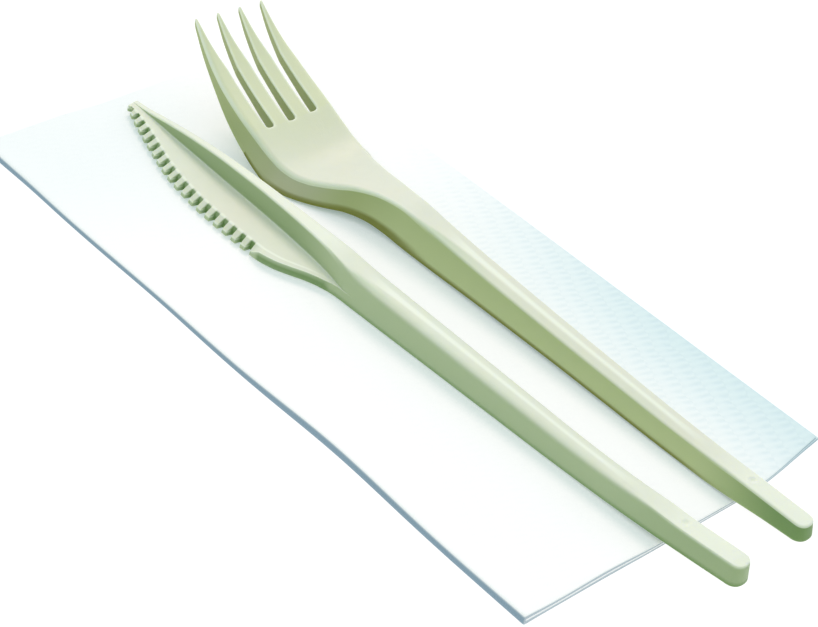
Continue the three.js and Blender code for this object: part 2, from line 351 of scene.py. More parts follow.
class Recipe:
    """A material's or the world's nodes."""

    def __init__(self, tree: bpy.types.NodeTree) -> None:
        """Empties the tree.

        Args:
            tree: the node tree to fill.
        """
        self.tree = tree
        tree.nodes.clear()

    def node(self, kind: str, settings: dict[str, object] | None = None,
             **inputs: Input) -> bpy.types.Node:
        """Adds a node, sets it, then fills its sockets.

        Args:
            kind: the node's type.
            settings: the node's own settings.
            **inputs: values or links by socket name, with _ for a space.

        Returns:
            The node.
        """
        node = self.tree.nodes.new(kind)
        for name, setting in (settings or {}).items():
            setattr(node, name, setting)
        for name, given in inputs.items():
            label = name.replace("_", " ")
            usable = [s for s in node.inputs if s.name == label and s.enabled]
            if isinstance(given, Value):
                self.tree.links.new(given.socket, usable[0])
            else:
                usable[0].default_value = given
        return node

    def read(self, node: bpy.types.Node, output: str) -> Value:
        """Takes a node's output by name."""
        found = [s for s in node.outputs if s.name == output and s.enabled]
        return Value(self.tree, found[0])

    def mark(self, name: str) -> Value:
        """Reads a value stored on the mesh."""
        return self.read(self.node("ShaderNodeAttribute", {"attribute_name": name}), "Fac")

    def place(self) -> Value:
        """Reads where a point lies on its object."""
        return self.read(self.node("ShaderNodeTexCoord"), "Object")

    def steepness(self, level: float, upright: float) -> Value:
        """How steep the surface is, from the upright part of its own normal.

        Args:
            level: upright part of the normal at and above which the share is 0.
            upright: upright part at and below which the share is 1.

        Returns:
            The share, rising smoothly between the two.
        """
        facing = self.read(self.node("ShaderNodeTexCoord"), "Normal")
        height = self.read(self.node("ShaderNodeSeparateXYZ", Vector=facing), "Z")
        return self.between((height * height) ** 0.5, level, upright)

    def between(self, value: Value, start: float, stop: float) -> Value:
        """Rises smoothly from 0 to 1 while a value goes from a start to a stop."""
        node = self.node("ShaderNodeMapRange", {"interpolation_type": "SMOOTHSTEP"},
                         Value=value, From_Min=start, From_Max=stop)
        return self.read(node, "Result")

    def noise(self, where: Value, scale: float, detail: float, roughness: float = 0.5) -> Value:
        """Smooth noise from 0 to 1.

        Args:
            where: the point.
            scale: spots per metre.
            detail: octaves.
            roughness: strength of the fine octaves.

        Returns:
            The noise.
        """
        node = self.node("ShaderNodeTexNoise", Vector=where, Scale=scale, Detail=detail,
                         Roughness=roughness)
        return self.read(node, "Fac")

    def blend(self, share: Input, first: Input, second: Input) -> Value:
        """Mixes two colours, from the first at 0 to the second at 1."""
        node = self.node("ShaderNodeMix", {"data_type": "RGBA", "clamp_factor": True})
        for socket, given in zip([s for s in node.inputs if s.enabled], (share, first, second)):
            if isinstance(given, Value):
                self.tree.links.new(given.socket, socket)
            else:
                socket.default_value = given
        return Value(self.tree, [s for s in node.outputs if s.enabled][0])

    def relief(self, height: Value, depth: float, under: Value | None = None) -> Value:
        """Turns a height into a bumped normal.

        Args:
            height: the height, from 0 to 1.
            depth: how many metres a height of 1 stands for.
            under: a normal to start from.

        Returns:
            The normal.
        """
        node = self.node("ShaderNodeBump", Height=height, Strength=1.0, Distance=depth)
        if under is not None:
            self.tree.links.new(under.socket, node.inputs["Normal"])
        return self.read(node, "Normal")

    def finish(self, shader: bpy.types.Node) -> None:
        """Sends a shader to the material's output."""
        out = self.node("ShaderNodeOutputMaterial")
        self.tree.links.new(shader.outputs[0], out.inputs["Surface"])


@dataclass(frozen=True)
class Bioplastic:
    """Cream plant-starch plastic, satin from the mould.

    Attributes:
        cream: the thick plastic of the tops.
        warm: the same where the melt flowed slowly.
        streaked: fine flow marks.
        thin: painted light that comes through the thin head and tines.
        slope: painted shade on the left slope of the handles' tops.
        wall: painted shade on the upright walls.
        deep: deeper painted shade on the walls at the ends, the foot of the low walls, the rib
            wall and the gaps between the teeth.
        edge: painted highlight on the rounded edges, the crest and the handles' ends.
        hollow: painted dark olive shade on the undersides, the foot of the walls and the
            tines' walls.
        roughness: how satin the surface is.
    """

    cream: tuple[float, ...] = (0.76, 0.77, 0.66, 1.0)
    warm: tuple[float, ...] = (0.78, 0.76, 0.63, 1.0)
    streaked: tuple[float, ...] = (0.64, 0.68, 0.50, 1.0)
    thin: tuple[float, ...] = (0.76, 0.78, 0.47, 1.0)
    slope: tuple[float, ...] = (0.55, 0.65, 0.47, 1.0)
    wall: tuple[float, ...] = (0.51, 0.58, 0.30, 1.0)
    deep: tuple[float, ...] = (0.17, 0.29, 0.09, 1.0)
    edge: tuple[float, ...] = (0.91, 0.94, 0.83, 1.0)
    hollow: tuple[float, ...] = (0.175, 0.185, 0.008, 1.0)
    roughness: float = 0.47

    def material(self, name: str) -> bpy.types.Material:
        """Makes the material.

        Cloudy flow marks change the cream slightly and a fine grain breaks the gloss. Painted
        shade greens the upright walls and the left slope and darkens the undersides and the foot
        of the walls to olive, painted highlight pales the edges and the crest, and painted light
        yellows the thin head.

        Args:
            name: the material's name.

        Returns:
            The material.
        """
        made = bpy.data.materials.new(name)
        made.use_nodes = True
        recipe = Recipe(made.node_tree)
        where = recipe.place()
        cloud = recipe.noise(where, 90.0, 2.0)
        streak = recipe.noise(where, 420.0, 3.0, 0.6)
        grain = recipe.noise(where, 5200.0, 2.0)
        tone = recipe.blend((cloud - 0.35) * 1.6, self.cream, self.warm)
        tone = recipe.blend((streak - 0.5) * 0.35, tone, self.streaked)
        # painted light: the head and tines are yellowed as if light came through the thin plastic
        tone = recipe.blend(recipe.mark("thin") * 0.55, tone, self.thin)
        # painted shade on the left slope of the handles' tops
        tone = recipe.blend(recipe.mark("slope"), tone, self.slope)
        # painted shade on the upright walls, deeper at the ends, at the foot of the low walls, on
        # the rib wall and between the teeth; steep surfaces take it
        side = recipe.blend(recipe.mark("deep"), self.wall, self.deep)
        tone = recipe.blend(recipe.steepness(0.97, 0.20), tone, side)
        # painted highlight on rims, the crest and the handles' ends
        tone = recipe.blend(recipe.mark("rim") * 0.8, tone, self.edge)
        # painted dark olive shade on the undersides and at the foot of the walls
        tone = recipe.blend(recipe.mark("inside") * 0.92, tone, self.hollow)
        gloss = self.roughness + (streak - 0.5) * 0.16 + (grain - 0.5) * 0.12
        bumped = recipe.relief(grain, 0.00002)
        bumped = recipe.relief(streak, 0.00005, bumped)
        shader = recipe.node("ShaderNodeBsdfPrincipled", {"subsurface_method": "RANDOM_WALK"},
                             Base_Color=tone, Roughness=gloss, Normal=bumped, IOR=1.47,
                             Subsurface_Weight=0.25, Subsurface_Radius=(1.0, 0.95, 0.5),
                             Subsurface_Scale=0.0009)
        recipe.finish(shader)
        return made


@dataclass(frozen=True)
class Tissue:
    """White embossed paper tissue, with a painted glow that lightens its shadows.

    Attributes:
        white: the paper.
        shade: painted shade on the paper towards the right long edge, the near right corner
            and the far end.
        pressed: painted shade at the bottom of a pressed dash.
        fibres: the fibres between the dashes.
        layers: the edges and folds, where layers shade one another.
        glow: painted glow of the paper, which lightens its shadows and tints them cyan.
        dim: what is left of it at the edges and folds.
        strength: how strong that glow is.
        row: distance between two rows of dashes, in millimetres.
        column: distance between two columns of dashes.
        slant: how far the dashes lean across the sheet, in degrees.
        side: side of the open sheet.
    """

    white: tuple[float, ...] = (0.84, 0.75, 0.75, 1.0)
    shade: tuple[float, ...] = (0.47, 0.56, 0.58, 1.0)
    pressed: tuple[float, ...] = (0.42, 0.49, 0.55, 1.0)
    fibres: tuple[float, ...] = (0.80, 0.83, 0.86, 1.0)
    layers: tuple[float, ...] = (0.22, 0.31, 0.40, 1.0)
    glow: tuple[float, ...] = (0.74, 0.97, 1.0, 1.0)
    dim: tuple[float, ...] = (0.10, 0.16, 0.20, 1.0)
    strength: float = 0.30
    row: float = 1.6
    column: float = 3.9
    slant: float = -22.5
    side: float = 300.0

    def material(self, name: str) -> bpy.types.Material:
        """Makes the material.

        Columns of short slanting dashes are pressed into the sheet, each column shifted by
        half a row from the last, and soft fibres roughen what is between them. A dash is the
        product of a sine across the rows and one along the columns, both carried between 0
        and 1, and its bottom gets painted shade that shows most at the near right corner.
        Painted shade darkens the paper towards the near right corner and the far end, and on
        the steep edges and folds, and the paper's painted glow lightens its shadows.

        Args:
            name: the material's name.

        Returns:
            The material.
        """
        made = bpy.data.materials.new(name)
        made.use_nodes = True
        recipe = Recipe(made.node_tree)
        where = recipe.place()
        sheet = recipe.node("ShaderNodeUVMap", {"uv_map": "sheet"})
        parts = recipe.node("ShaderNodeSeparateXYZ", Vector=recipe.read(sheet, "UV"))
        u, v = (recipe.read(parts, axis) * self.side for axis in "XY")
        c, s = math.cos(math.radians(self.slant)), math.sin(math.radians(self.slant))
        wander = (recipe.noise(where, 220.0, 2.0) - 0.5) * 3.0
        along = (u * c + v * s + wander) * (1 / self.column)
        across = (v * c - u * s + wander * 0.5) * (1 / self.row)
        shift = (along * 0.5).wrapped().above(0.5) * 0.5
        dash = ((across + shift) * math.tau).sine() * 0.5 + 0.5
        ends = (along * math.tau).sine() * 0.35 + 0.65
        here = recipe.node("ShaderNodeSeparateXYZ", Vector=where)
        x, y = (recipe.read(here, axis) for axis in "XY")
        # masks for painted shade towards the near right corner and the far end; the first also
        # sets where the dashes show most
        near = recipe.between(x, 0.008, 0.042) * recipe.between(y, 0.045, -0.045)
        far = recipe.between(y, 0.020, 0.066) * recipe.between(x, 0.020, -0.012)
        pressed = dash * ends
        fibre = recipe.noise(where, 2600.0, 4.0, 0.7)
        cloud = recipe.noise(where, 60.0, 2.0)
        tone = recipe.blend(near * 0.95 + far * 0.25 + (cloud - 0.5) * 0.08, self.white,
                            self.shade)
        # painted shade at the bottom of the pressed dashes
        tone = recipe.blend(pressed * (near * 0.5 + 0.03), tone, self.pressed)
        tone = recipe.blend((fibre - 0.5) * 0.15, tone, self.fibres)
        facing = recipe.node("ShaderNodeSeparateXYZ",
                             Vector=recipe.read(recipe.node("ShaderNodeTexCoord"), "Normal"))
        fold = recipe.read(facing, "X") * recipe.read(facing, "X")
        # painted shade on the steep edges and folds, where the glow is dimmed
        sides = recipe.steepness(0.80, 0.35) * (0.65 + fold * 0.32)
        tone = recipe.blend(sides, tone, self.layers)
        glow = recipe.blend(sides, self.glow, self.dim)
        bumped = recipe.relief(pressed * (near * -0.8 - 0.2), 0.00007)
        bumped = recipe.relief(fibre, 0.00003, bumped)
        # the emission is the paper's painted glow, dimmed on the edges and folds
        shader = recipe.node("ShaderNodeBsdfPrincipled", Base_Color=tone, Roughness=0.95,
                             Normal=bumped, Specular_IOR_Level=0.15, Emission_Color=glow,
                             Emission_Strength=self.strength)
        recipe.finish(shader)
        return made


# ---------------------------------------------------------------- cutlery


@dataclass
class Handle:
    """What the two handles share: their widths, their crowned top and their rounded end.

    Distances along a piece start at its handle's end.

    Attributes:
        foot: half the width at the foot of the walls.
        top: half the width at the top.
        crest: how far in from its side the top begins to fall away.
        slope: how steeply it falls there.
        wall: thickness of the side walls.
        skin: thickness under the top.
        edge_round: radius between wall and top.
        end: length of the rounded end.
        gate: where the plastic entered the mould.
        neck: where the handle ends.
        squareness: power of the superellipse of the end.
    """

    foot: Course = Course(((0, 2.45), (13, 2.55), (30, 2.75), (50, 3.0), (70, 3.25),
                           (92, 3.55)))
    top: Course = Course(((0, 1.95), (13, 1.95), (30, 2.2), (50, 2.4), (70, 2.6), (92, 2.75)))
    crest: Course = Course(((0, -0.6), (11, -0.6), (17, 0.4), (24, 1.4), (34, 1.95),
                            (60, 2.15), (80, 2.2), (88, 1.9), (96, 0.6), (101, -0.8),
                            (112, -2.5)))
    slope: float = 0.19
    wall: float = 1.2
    skin: float = 1.4
    edge_round: float = 1.2
    end: float = 2.1
    gate: float = 13.0
    neck: float = 92.0
    squareness: float = 2.35

    def gate_mark(self, x: np.ndarray, s: np.ndarray) -> np.ndarray:
        """The scar that the mould's gate leaves: a dimple inside a low ring.

        Both are bells of the distance from the gate.

        Args:
            x: distance from the middle of the handle.
            s: distance from its end.

        Returns:
            How far the surface rises.
        """
        reach = np.hypot(x, s - self.gate)
        return 0.04 * bump(reach, 0.95, 0.28) - 0.26 * bump(reach, 0.0, 0.5)

    def ridge_highlight(self, x: np.ndarray, s: np.ndarray) -> np.ndarray:
        """How much painted highlight the narrow flat between the two slopes gets, from 0 to 1.

        It is 1 between the two crest lines and fades towards the gate and the neck.

        Args:
            x: distance from the middle of the handle.
            s: distance from its end.

        Returns:
            The share.
        """
        flat = self.top(s) - self.crest(s) - np.abs(x)
        return smooth(flat / 0.8 + 0.65) * smooth((s - 20) / 14) * smooth((self.neck - s) / 10)

    def left_slope_shade(self, x: np.ndarray, s: np.ndarray) -> np.ndarray:
        """How much painted shade a point on the left slope of the top gets, from 0 to 1.

        The painted shade is greenest at the neck and fades towards the gate.

        Args:
            x: distance from the middle of the handle.
            s: distance from its end.

        Returns:
            The share.
        """
        past = self.crest(s) - self.top(np.minimum(s, self.neck)) + np.abs(x)
        strength = 0.15 + 0.6 * smooth((s - 70) / 24)
        return smooth(past / 0.7) * (x < 0) * strength * smooth((s - 22) / 14) * (s < 104)

    def rows(self) -> np.ndarray:
        """Distances for the sections of a handle, close together at the gate mark."""
        return np.concatenate([
            [self.end, 2.6, 3.4, 4.6, 6.2, 8.0, 9.6],
            spaced(10.6, 11.6, step=0.35), spaced(11.75, 14.3, step=0.16),
            spaced(14.6, 17.6, step=0.4), spaced(18.4, 24, step=1.2), spaced(26, 84, step=2.2),
        ])

    def spin(self, half: np.ndarray, steps: int = 26) -> np.ndarray:
        """Carries a half section round the handle's end.

        The half section turns about an upright line one end radius in. Its reach is
        stretched by a superellipse, so the end is a little squarer than a circle.

        Args:
            half: the half section's points at the end radius, on the left side.
            steps: sections round the end.

        Returns:
            The points, as sections by points by three.
        """
        angle = np.linspace(0, np.pi, steps)[:, None]
        c, s = np.cos(angle), np.sin(angle)
        n = self.squareness
        reach = (np.abs(c) ** n + np.abs(s) ** n) ** (-1 / n)
        x, z = half[None, :, 0], half[None, :, 2]
        return np.stack([x * reach * c, self.end + x * reach * s, z + 0 * angle], axis=-1)


@dataclass
class Knife:
    """The knife: a hollow handle that runs into a spine rib, and a toothed blade plate.

    Attributes:
        handle: the handle.
        length: from the handle's end to the tip.
        place: where the handle's end lies.
        turn: how far the knife is turned, in degrees.
        rest: how high it lies, which is the napkin's thickness.
        foot: how far the walls' foot is lifted off the napkin.
        height: from the foot to the top.
        rib_top: left side of the rib's top.
        rib_foot: left side of the rib's foot.
        back_top: how far out the back's top may reach.
        back_foot: how far out the back's foot may reach.
        edge: the cutting edge.
        plate: thickness of the blade plate.
        bevel: depth of the bevel along the edge.
        land: width of the bevel.
        rib_round: radius along the rib.
        cavity_end: where the hollow underside ends.
        rib_start: where the handle's left side becomes the rib.
        plate_start: where the plate leaves the rib.
        teeth_start: where the bevel and the teeth begin.
        swell_start: where the back becomes wider again, towards the tip.
        teeth: gaps between the teeth.
        pitch: from one gap to the next, along the edge.
        last_gap: the gap nearest the tip.
        gap_depth: how far a gap reaches in.
    """

    handle: Handle = field(default_factory=Handle)
    length: float = 161.2
    place: tuple[float, float] = (-4.6, -92.0)
    turn: float = 1.6
    rest: float = 1.66
    foot: Course = Course(((0, 2.4), (10, 1.45), (20, 0.7), (30, 0.25), (45, 0), (125, 0),
                           (140, 0.2), (150, 0.4), (161.2, 0.7)))
    height: Course = Course(((0, 4.2), (13, 4.4), (20, 4.8), (33, 5.0), (47, 5.4), (62, 5.8),
                             (72, 6.1), (92, 6.5), (118, 6.6), (130, 6.3), (141, 5.3),
                             (150, 3.9), (156, 2.5), (159, 1.8), (161.2, 1.4)))
    rib_top: Course = Course(((86, -2.7), (92, -2.3), (100, -0.9), (112, 0.2), (125, 0.8),
                              (140, 1.3), (150, 1.6), (156, 2.0), (161.2, 2.6)))
    rib_foot: Course = Course(((86, -3.5), (92, -3.3), (100, -2.0), (112, -0.7), (125, 0.2),
                               (140, 0.9), (150, 1.3), (156, 1.8), (161.2, 2.5)))
    back_top: Course = Course(((0, 2.75), (146, 2.75), (155, 3.05), (161.2, 3.6)))
    back_foot: Course = Course(((0, 3.3), (146, 3.3), (155, 3.5), (161.2, 3.9)))
    edge: Course = Course(((88, -3.5), (94, -3.55), (98, -4.2), (101, -5.2), (104, -6.6),
                           (107, -7.8), (111, -8.6), (116, -8.75), (122, -8.6), (128, -8.3),
                           (133, -7.75), (138, -6.95), (143, -5.65), (148, -4.0),
                           (153, -2.3), (157, -0.8), (159.5, 0.2), (161.2, 0.9)))
    plate: Course = Course(((88, 2.1), (150, 2.1), (157, 1.7), (161.2, 1.3)))
    bevel: Course = Course(((110.6, 0.0), (112.4, 1.1), (150, 1.1), (158, 0.7),
                            (161.2, 0.4)))
    land: Course = Course(((90, 0.6), (112, 1.75), (130, 1.95), (150, 1.95), (158, 1.3),
                           (161.2, 0.35)))
    rib_round: float = 0.42
    cavity_end: float = 101.0
    rib_start: float = 86.0
    plate_start: float = 88.0
    teeth_start: float = 108.0
    swell_start: float = 140.0
    teeth: int = 19
    pitch: float = 2.68
    last_gap: float = 160.1
    gap_depth: float = 1.25

    def gap_centres(self) -> np.ndarray:
        """Where the gaps between the teeth are, one pitch apart along the edge.

        Each step back from the tip is one pitch times the share of it that runs along the
        knife, which is the cosine of the edge's lean.
        """
        centres = [self.last_gap]
        for _ in range(self.teeth - 1):
            lean = float(self.edge(centres[-1] + 0.5) - self.edge(centres[-1] - 0.5))
            centres.append(centres[-1] - self.pitch / math.hypot(1, lean))
        return np.array(centres[::-1])

    def notch(self, s: np.ndarray) -> np.ndarray:
        """How far the edge is set back at each distance: a steep well at each gap.

        The distance from the nearest gap's middle goes through a smooth step between the
        two half widths.

        Args:
            s: distances along the knife.

        Returns:
            The set-back in millimetres.
        """
        centres = self.gap_centres()
        away = np.abs(s[:, None] - centres[None]).min(axis=1)
        lean = self.edge(s + 0.5) - self.edge(s - 0.5)
        away = away * np.hypot(1, lean)
        return self.gap_depth * (1 - smooth((away - 0.44) / 0.3))

    def rows(self) -> np.ndarray:
        """Distances for the knife's sections, fourteen to each tooth and its gap."""
        centres = self.gap_centres()
        share = np.array([0.0, 0.16, 0.19, 0.22, 0.25, 0.28, 0.34, 0.5, 0.66, 0.72, 0.75,
                          0.78, 0.81, 0.84])
        gaps = centres[:-1, None] + np.diff(centres)[:, None] * share
        start = np.array([-0.34, -0.28, -0.25, -0.22, -0.19, -0.16]) * self.pitch
        last = centres[-1] + np.array([0.0, 0.3, 0.4, 0.5, 0.6, 0.75])
        return np.concatenate([
            self.handle.rows(), spaced(self.rib_start, 100, step=1.4),
            spaced(100.3, 101.7, step=0.35), spaced(102.6, centres[0] - 1.3, step=0.9),
            centres[0] + start, gaps.ravel(), last, [self.length],
        ])

    def corners(self, s: np.ndarray) -> tuple[np.ndarray, np.ndarray]:
        """The corners of each section.

        The edge leans, so the teeth are square to it: their corners are carried along the
        edge's own normal, and the section behind them follows at the place they reach.

        Args:
            s: distances along the edge.

        Returns:
            Corners, as rows by 16 by three, and how far each is rounded. They run from the
            hollow's left roof by the edge, the plate and the top to its right roof.
        """
        lean = self.edge(s + 0.5) - self.edge(s - 0.5)
        lean = np.where(s < self.teeth_start, 0, lean)
        size = np.hypot(1, lean)
        normal = np.stack([1 / size, -lean / size], axis=1)
        land = self.land(s)
        notch = np.where(s > self.teeth_start, self.notch(s), 0)
        back = s + normal[:, 1] * land
        foot = self.rest + self.foot(back)
        high = self.height(back)
        on_rib = back > self.rib_start
        swell = back > self.swell_start
        left = np.where(on_rib, self.rib_top(back), -self.handle.top(back))
        left_foot = np.where(on_rib, self.rib_foot(back), -self.handle.foot(back))
        right = np.minimum(self.handle.top(back) + swell, self.back_top(back))
        right_foot = np.minimum(self.handle.foot(back) + swell, self.back_foot(back))
        crest = self.handle.crest(back)
        crest = np.minimum(np.maximum(crest, 0.35), (right - left) * 0.44)
        fall = np.where(back < 100, self.handle.slope, 0.06) * crest
        top = foot + high
        plate = np.minimum(self.plate(back), high * 0.9)
        wall_x = left_foot + (left - left_foot) * plate / high
        back_x = right_foot + (right - right_foot) * plate / high
        edge_x = np.where(s > self.plate_start, np.minimum(self.edge(s), left_foot), left_foot)
        bevel = np.where(s > self.teeth_start, self.bevel(s), 0)
        inner = np.minimum(edge_x + normal[:, 0] * land, wall_x)
        lip = np.minimum(edge_x + normal[:, 0] * (notch + 0.2), wall_x)
        lip = wall_x + (lip - wall_x) * smooth((s - 90) / 8)
        nose = np.minimum(edge_x + normal[:, 0] * notch, inner)
        wall = np.minimum(self.handle.wall, (right - left) * 0.35)
        closing = smooth((self.cavity_end - back) / 1.2)
        roof = foot + (high - self.handle.skin) * closing
        lines = [
            (left + wall, back, roof), (left_foot + wall, back, foot),
            (nose, s + normal[:, 1] * notch, foot),
            (lip, s + normal[:, 1] * (notch + 0.2), foot + plate - bevel),
            (inner, back, foot + plate), (wall_x, back, foot + plate),
            (left, back, top - fall), (left + crest, back, top), (right - crest, back, top),
            (right, back, top - fall), *[(back_x, back, foot + plate)] * 3,
            (right_foot, back, foot),
            (right_foot - wall, back, foot), (right - wall, back, roof),
        ]
        blade = smooth((back - 92) / 12)
        round_top = self.handle.edge_round + (self.rib_round - self.handle.edge_round) * blade
        cuts = [0.5, 0.25, 0.25, 0.22, 0.3, 0.3, round_top, 0.25, 0.25, round_top, 0.3, 0.3,
                0.22, 0.25, 0.25, 0.5]
        shape = np.stack([np.stack([np.broadcast_to(v, s.shape) for v in p], axis=1)
                          for p in lines], axis=1)
        return shape, np.stack([np.broadcast_to(cut, s.shape) for cut in cuts], axis=1)

    def marks(self, s: np.ndarray, points: np.ndarray, edge_highlight: np.ndarray, height: np.ndarray,
              crown: np.ndarray) -> tuple[np.ndarray, ...]:
        """Marks painted highlight on the rims, the crest and the end, and painted shade on the
        walls, the gaps between the teeth and the left slope of the handle's top.

        Args:
            s: distances of the sections.
            points: the sections' points.
            edge_highlight: how much painted highlight each column gets.
            height: height of each point above the foot.
            crown: 1 on the top and 0 on the walls and the plate.

        Returns:
            How much painted highlight, how much deep green painted shade and how much left slope
            painted shade each point gets.
        """
        x, along = points[..., 0], points[..., 1]
        on_blade = smooth((along - 94) / 10)
        # painted highlight on the blade's rims and the handle's crest
        highlit = edge_highlight * on_blade + self.handle.ridge_highlight(x, along)
        # painted highlight on the handle's rounded end
        highlit = highlit + 0.65 * crown * smooth((27 - along) / 16)
        # painted shade on the left slope of the handle's top
        slope = self.handle.left_slope_shade(x, along) * crown
        # painted shade in the gaps between the teeth, at the foot of the low walls, at the
        # handle's end and on the rib wall
        gap = self.notch(s)[:, None] / self.gap_depth
        gap = gap * (x < self.rib_foot(along) - 1) * (along > self.teeth_start + 1)
        low = np.where(along < 96, 0.8 * smooth((0.9 - height) / 0.7),
                       smooth((2.6 - height) / 1.2))
        foot = low * np.where(along > 111, 0, 0.9)
        end = 0.35 * smooth((30 - along) / 25)
        rib = 0.36 * smooth((along - 98) / 14) * (height > 1.9)
        deep = np.maximum(end + foot, gap) + rib
        return np.clip(highlit * (1 - gap), 0, 1), np.clip(deep, 0, 1), slope

    def make(self) -> bpy.types.Object:
        """Builds the knife.

        The points between corners and the painted highlight of each corner are listed in the
        corners' own order.

        Returns:
            The finished piece, in its place.
        """
        s = self.rows()
        corners, cuts = self.corners(s)
        fills = (1, 0, 1, 2, 4, 4, 2, 11, 2, 4, 4, 2, 1, 0, 1, 5)
        # painted highlight on each corner's rounding, and on the crest's flat after corner 7
        rims = (0, 0, 0.3, 0.9, 0.9, 0.3, 1, 0.6, 0.6, 1, 0.3, 0.2, 0.2, 0.2, 0, 0)
        outline = Outline(corners, cuts, fills, rims, flats={7: 0.6})
        points, edge_highlight = outline.points()
        height = points[..., 2] - self.rest - self.foot(points[..., 1])
        crown = smooth((height - self.height(points[..., 1])) / 0.45 + 1.35)
        points[..., 2] += crown * self.handle.gate_mark(points[..., 0], points[..., 1])
        # painted dark olive shade on the columns of the hollow underside
        inside = np.zeros(points.shape[1])
        inside[: 2 * outline.steps + fills[0]] = 1
        inside[-(2 * outline.steps + fills[-2] + fills[-1]):] = 1
        rim, deep, slope = self.marks(s, points, edge_highlight, height, crown)
        shell = Shell(MARKS)
        shell.grid(points, ring=True, rim=rim, inside=inside, deep=deep, slope=slope)
        middle = np.abs(points[0, :, 0])
        top_middle = int(np.argmin(middle + np.where(crown[0] > 0.5, 0, 99)))
        low_middle = int(np.argmin(middle + np.where(crown[0] > 0.5, 99, 0)))
        order = around(low_middle, top_middle, points.shape[1])
        shell.grid(self.handle.spin(points[0, order])[::-1], rim=rim[0, order],
                   inside=inside[order], deep=deep[0, order])
        last = points[-1]
        heart = last.mean(axis=0)
        rings = [heart + (last - heart) * k + np.array([0, d, 0])
                 for k, d in ((1, 0), (0.9, 0.16), (0.6, 0.26), (0, 0.3))]
        # the tip's cap gets half the painted highlight
        shell.grid(np.stack(rings), ring=True, rim=0.5)
        turn = Matrix.Rotation(math.radians(self.turn), 4, "Z")
        place = Matrix.Translation((*self.place, 0)) @ turn
        return shell.make("table_knife", place, CREASE)


